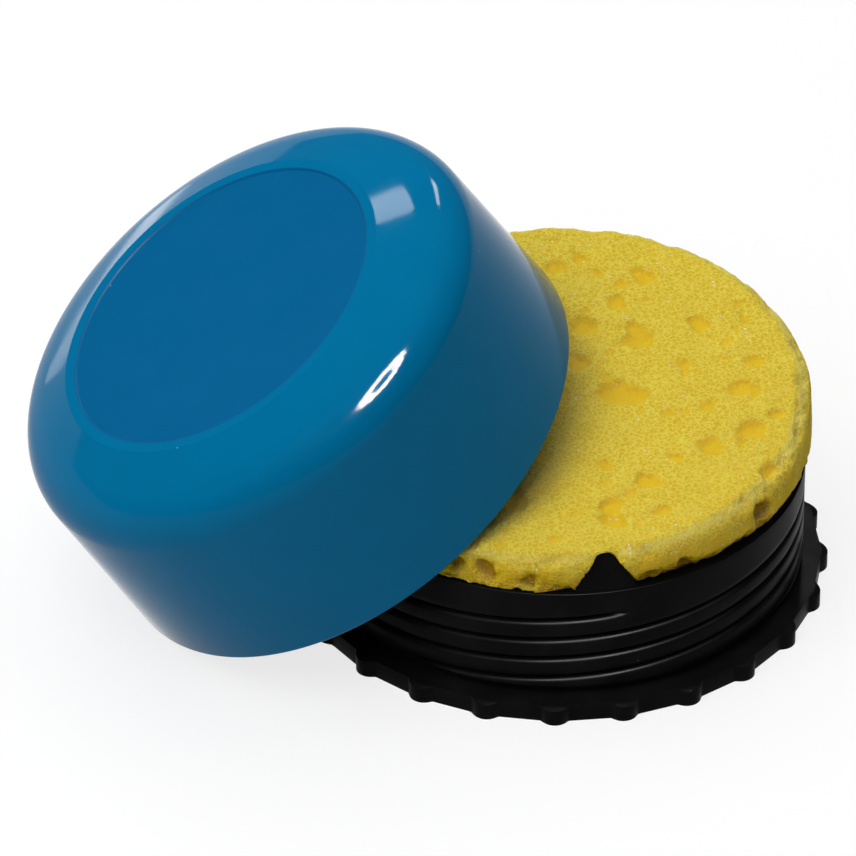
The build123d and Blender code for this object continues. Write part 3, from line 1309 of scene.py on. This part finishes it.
    def open_pores(self, foam: Piece, cup: BaseCup) -> None:
        """Presses the pores, the rim's hollows, the worn edge and the cells into the foam, and marks where
        shade, moisture staining and a highlight are painted.

        Args:
            foam: The foam plug.
            cup: The cup, whose claws press into the foam.
        """
        places = places_of(foam)
        self.tuck_in(places)
        set_places(foam, places)
        normals = np.empty(len(places) * 3)
        foam.data.vertices.foreach_get("normal", normals)
        normals = normals.reshape(-1, 3)
        cells = np.maximum(noise_at(places, self.cell_noise), 0.0)
        broad = np.maximum(noise_at(places, self.broad_noise), 0.0)
        ragged = noise_at(places, self.ragged_noise)
        tattered = np.maximum(noise_at(places, self.tattered_noise), 0.0)
        bent = self.bend(places)
        pores = self.pits(bent, self.pores(), self.pore_depth)
        hollows = self.pits(bent, self.rim_hollows(), self.hollow_depth)
        edge = self.edge_share(places)
        over_rim = places[:, 2] - self.rim_height
        low = smooth_step(1.0 - over_rim / self.low_height)
        above = smooth_step((over_rim + self.wear_below_rim) / self.wear_onset)
        worn = cells * self.cell_wear + broad * self.broad_wear
        worn += (np.maximum(ragged, 0.0) * self.ragged_wear + tattered * self.tattered_wear) * edge
        worn += tattered * low * self.low_wear
        places -= normals * ((np.maximum(pores, hollows) + worn) * above)[:, None]
        set_reach(places, np.minimum(reach_of(places), cup.behind_claws(places)))
        set_places(foam, places)
        # pores and steep flanks get painted gold shade, hollows and foam near the rim get moisture staining
        # with painted shade, and the edge's crest gets a painted pale highlight
        painted_flank_shade = smooth_step((0.6 - normals[:, 2]) / 0.5) * np.clip(0.65 + 0.5 * ragged, 0.3, 0.9)
        painted_pore_and_flank_shade = np.maximum(smooth_step(pores / self.pore_shade_depth), painted_flank_shade)
        damp_stain_and_shade = low * np.clip(0.85 + 0.6 * ragged, 0.0, 1.0) * (0.5 + 0.5 * self.away_from_lid(places))
        stain_and_shade = np.maximum(smooth_step(hollows / self.stain_and_shade_depth) * self.hollow_stain_and_shade, damp_stain_and_shade)
        painted_crest_highlight = smooth_step((edge - 0.1) / 0.4) * smooth_step((normals[:, 2] - 0.4) / 0.4)
        for name, value in (("pore", painted_pore_and_flank_shade), ("stain_and_shade", stain_and_shade), ("edge", painted_crest_highlight)):
            mark = foam.data.attributes.new(name, "FLOAT", "POINT")
            mark.data.foreach_set("value", value.astype(np.float32))

    def build(self, node: Piece, cup: BaseCup) -> Piece:
        """Models the sponge.

        Args:
            node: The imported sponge.
            cup: The cup that it stands in.

        Returns:
            The sponge in the part's frame.
        """
        noise.seed_set(self.seed)
        foam = self.plug(node)
        self.roll_edge(foam)
        self.open_pores(foam, cup)
        pick(foam)
        bpy.ops.object.shade_smooth()
        return foam

    def dress(self, foam: Piece, finish: Material) -> None:
        """Gives the sponge its finish and its place on the frame, on a mesh of its own.

        Args:
            foam: The sponge.
            finish: The foam's material.
        """
        foam.data.materials.clear()
        foam.data.materials.append(finish)
        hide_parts("sponge")
        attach(foam, Body.SPONGE.value)
        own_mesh(foam)


class LampUse(Enum):
    """What a lamp does: lights things, or only shows in gloss."""

    LIGHT = "light"
    GLEAM = "gleam"


@dataclass(frozen=True)
class SoftBox:
    """A soft studio lamp."""

    name: str
    place: Point
    aim: Point
    size: tuple[float, float]
    power: float
    use: LampUse = LampUse.LIGHT
    shape: str = "RECTANGLE"

    def build(self) -> Piece:
        """Adds the lamp.

        Returns:
            The lamp.
        """
        deselect_everything()
        bpy.ops.object.light_add(type="AREA", location=self.place)
        lamp = bpy.context.object
        lamp.name = self.name
        lamp.data.shape = self.shape
        lamp.data.size, lamp.data.size_y = self.size
        lamp.data.energy = self.power
        lamp.rotation_euler = (Vector(self.aim) - Vector(self.place)).to_track_quat("-Z", "Y").to_euler()
        lamp.visible_camera = False
        lamp.visible_diffuse = self.use is LampUse.LIGHT
        lamp.visible_glossy = self.use is LampUse.GLEAM
        return lamp


def gleam(name: str, place: Point, aim: Point, size: tuple[float, float], brightness: float,
          shape: str = "RECTANGLE") -> SoftBox:
    """Makes a lamp that only shows in gloss.

    Args:
        name: Name of the lamp.
        place: Middle of the lamp.
        aim: Point that it faces.
        size: Width and height.
        brightness: How bright its face is, with 1 as white.
        shape: Shape of its face.

    Returns:
        The lamp, not yet added.
    """
    area = size[0] * size[1] * (math.pi / 4 if shape == "ELLIPSE" else 1.0)
    return SoftBox(name, place, aim, size, brightness * math.pi * area, LampUse.GLEAM, shape)


def gleam_ring(name: str, place: Point, aim: Point, radius: float, bulb: float, brightness: float,
               count: int) -> list[SoftBox]:
    """Makes a round lamp with a dark middle, which only shows in gloss, from a ring of discs.

    Args:
        name: Start of the discs' names.
        place: Middle of the ring.
        aim: Point that it faces.
        radius: Radius of the circle that the discs' middles lie on.
        bulb: Width of a disc.
        brightness: How bright each disc is, with 1 as white.
        count: Number of discs.

    Returns:
        The discs, not yet added.
    """
    turn = (Vector(aim) - Vector(place)).to_track_quat("-Z", "Y")
    discs = []
    for number in range(count):
        angle = math.tau * number / count
        step = turn @ Vector((radius * math.cos(angle), radius * math.sin(angle), 0.0))
        discs.append(gleam(f"{name}_{number}", tuple(Vector(place) + step), tuple(Vector(aim) + step),
                           (bulb, bulb), brightness, "ELLIPSE"))
    return discs


@dataclass
class Studio:
    """White table that curves up all round, soft lamps and the camera."""

    table_radius: float = 1.9
    table_cap: float = 0.05
    table_facets: int = 128
    wall_height: float = 0.22
    wall_round: float = 0.15
    camera_aim: Point = (-16.6 * MM, 16.9 * MM, 17.3 * MM)
    camera_distance: float = 1.2
    camera_direction: Point = (0.20679, 0.79158, -0.57501)
    camera_lens: float = 318.94
    sensor_width: float = 36.0
    view_reach: float = 20.0
    world_light: float = 0.12

    LAMPS = (
        SoftBox("lamp_overhead", (0.0, 0.42, 1.0), (0.0, 0.0, 0.03), (1.2, 1.0), 6.5),
        SoftBox("lamp_left", (-0.50, -0.36, 0.85), (-0.03, 0.0, 0.05), (0.8, 0.8), 5.1),
        *gleam_ring("gleam_front", (-0.03, -0.48, 0.95), (-0.03, -0.03, 0.05), 0.165, 0.14, 270.0, 12),
        gleam("gleam_back", (-0.16, 0.90, 0.82), (-0.03, 0.0, 0.05), (0.14, 0.17), 24.0),
        gleam("gleam_back_right", (0.32, 0.88, 0.80), (-0.03, 0.0, 0.05), (0.10, 0.26), 30.0),
        gleam("gleam_streak", (-0.125, 0.27, 0.009), (-0.06, 0.0, 0.055), (0.13, 0.012), 3.0),
    )

    def table(self) -> Piece:
        """Models the table with its raised edge.

        Returns:
            The table.
        """
        path = rounded_path([
            Corner(self.table_cap, 0.0),
            Corner(self.table_radius, 0.0, self.wall_round, 12),
            Corner(self.table_radius, self.wall_height),
        ])
        piece = start_ring("white_table", path[0], self.table_facets)
        with editing(piece):
            select_all()
            bpy.ops.mesh.edge_face_add()
            bpy.ops.mesh.region_to_loop()
            extrude_rings(path)
        soften(piece, 30.0)
        piece.data.materials.append(FloorFinish().material())
        return piece

    def camera(self) -> Piece:
        """Adds the camera at the photograph's angle and makes it the scene's camera.

        Returns:
            The camera.
        """
        deselect_everything()
        look = Vector(self.camera_direction).normalized()
        bpy.ops.object.camera_add(location=Vector(self.camera_aim) - look * self.camera_distance)
        camera = bpy.context.object
        camera.name = "photo_camera"
        camera.rotation_euler = look.to_track_quat("-Z", "Y").to_euler()
        camera.data.sensor_width = self.sensor_width
        camera.data.lens = self.camera_lens
        camera.data.clip_end = self.view_reach
        bpy.context.scene.camera = camera
        return camera

    def world(self) -> None:
        """Lights the scene evenly from all round."""
        world = bpy.data.worlds.new("grey_room")
        world.use_nodes = True
        bpy.context.scene.world = world
        sky = world.node_tree.nodes["Background"]
        sky.inputs["Color"].default_value = (1.0, 1.0, 1.0, 1.0)
        sky.inputs["Strength"].default_value = self.world_light

    def build(self) -> None:
        """Sets up the whole studio."""
        self.table()
        for lamp in self.LAMPS:
            lamp.build()
        self.world()
        self.camera()
        bpy.context.scene.view_settings.view_transform = "Standard"


BLUE_GLOSS = PlasticFinish(
    name="blue_plastic", colour=(0.0, 0.180, 0.388), rubbed_colour=(0.0, 0.185, 0.398),
    roughness=(0.06, 0.09), grain_size=0.8 * MM, grain_height=0.002 * MM, dust=0.004,
    dust_colour=(0.20, 0.42, 0.58), specular=0.045)
# the panel is the shell's blue plastic with a satin grain; its colour is set darker than the shell's as
# painted shade, against the stronger lamp light on the panel
BLUE_PANEL_SHADED = PlasticFinish(
    name="blue_plastic_panel_shaded", colour=(0.0, 0.132, 0.330), rubbed_colour=(0.0, 0.136, 0.338),
    roughness=(0.40, 0.46), grain_size=0.25 * MM, grain_height=0.012 * MM, dust=0.002,
    dust_colour=(0.20, 0.42, 0.58), specular=0.02)
BLACK_SATIN = PlasticFinish(
    name="black_plastic", colour=(0.006, 0.006, 0.0063), rubbed_colour=(0.009, 0.009, 0.0093),
    roughness=(0.33, 0.41), grain_size=0.3 * MM, grain_height=0.008 * MM, dust=0.02,
    dust_colour=(0.08, 0.08, 0.076), specular=0.016)


def main() -> None:
    """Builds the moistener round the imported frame, piece by piece, and sets up the studio."""
    logging.basicConfig(level=logging.INFO, format="%(message)s")
    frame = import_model()
    pivot = tuple(next(joint["pos_m"] for joint in frame["joints"] if joint["name"] == "lid_tip"))
    surface = MouldedSurface().group()

    cup_maker = BaseCup()
    cup = cup_maker.build()
    cup_maker.dress(cup, BLACK_SATIN.material(surface))
    LOG.info("cup: %d faces", len(cup.data.polygons))

    sponge_maker = FoamSponge()
    foam = sponge_maker.build(frame["nodes"]["sponge"], cup_maker)
    sponge_maker.dress(foam, FoamFinish().material())
    LOG.info("sponge: %d faces", len(foam.data.polygons))

    lid_maker = ScrewLid()
    lid = lid_maker.build(pivot)
    lid_maker.dress(lid, BLUE_GLOSS.material(surface), BLUE_PANEL_SHADED.material(surface), pivot)
    LOG.info("lid: %d faces", len(lid.data.polygons))

    Studio().build()


if __name__ == "__main__":
    main()
